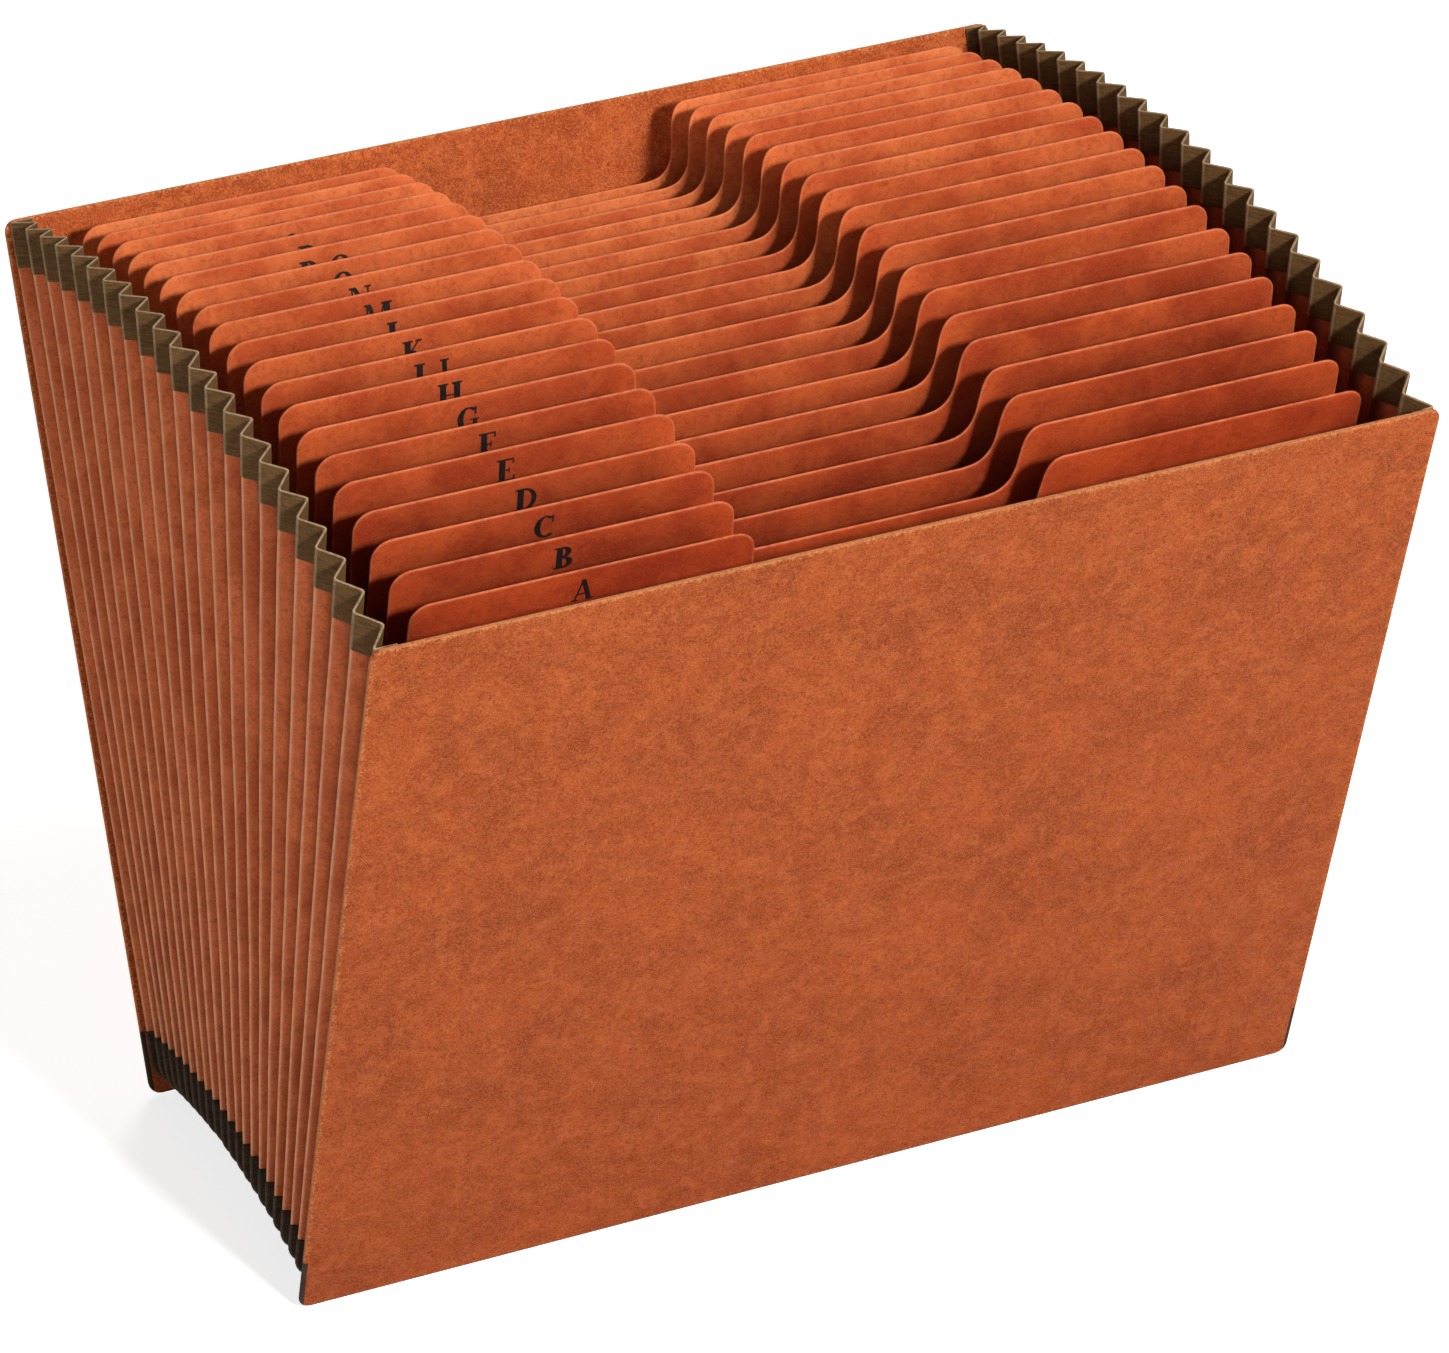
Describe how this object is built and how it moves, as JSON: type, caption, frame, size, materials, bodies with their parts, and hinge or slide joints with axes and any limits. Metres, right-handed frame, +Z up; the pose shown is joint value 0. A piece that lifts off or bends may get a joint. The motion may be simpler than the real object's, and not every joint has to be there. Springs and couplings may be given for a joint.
{
  "type": "expanding file",
  "caption": "Open-top expanding index file standing fanned open: stiff leather-look covers, accordion side and bottom folds, and tabbed dividers between the pockets.",
  "frame": {"origin": "centre of the footprint of the bounding box, on the surface the file stands on", "axes": "+X to the right along the covers, +Y from the front cover to the back cover, +Z up"},
  "size_m": [0.3048, 0.2716, 0.2619],
  "materials": {
    "cover_board": "leather-grained, mottled reddish brown, satin",
    "divider_card": "matte orange-brown card",
    "gusset_paper": "matte reddish brown",
    "top_tape_cloth": "woven brown cloth tape",
    "corner_tape_cloth": "woven dark brown cloth tape"
  },
  "bodies": {
    "root": {"back_cover": "cover_board", "front_cover": "cover_board", "divider_01": "divider_card", "divider_02": "divider_card", "divider_03": "divider_card", "divider_04": "divider_card", "divider_05": "divider_card", "divider_06": "divider_card", "divider_07": "divider_card", "divider_08": "divider_card", "divider_09": "divider_card", "divider_10": "divider_card", "divider_11": "divider_card", "divider_12": "divider_card", "divider_13": "divider_card", "divider_14": "divider_card", "divider_15": "divider_card", "divider_16": "divider_card", "divider_17": "divider_card", "divider_18": "divider_card", "divider_19": "divider_card", "divider_20": "divider_card", "left_gusset": "gusset_paper", "right_gusset": "gusset_paper", "bottom_gusset": "gusset_paper", "top_tape_left": "top_tape_cloth", "corner_tape_left": "corner_tape_cloth", "top_tape_right": "top_tape_cloth", "corner_tape_right": "corner_tape_cloth"}
  },
  "joints": []
}
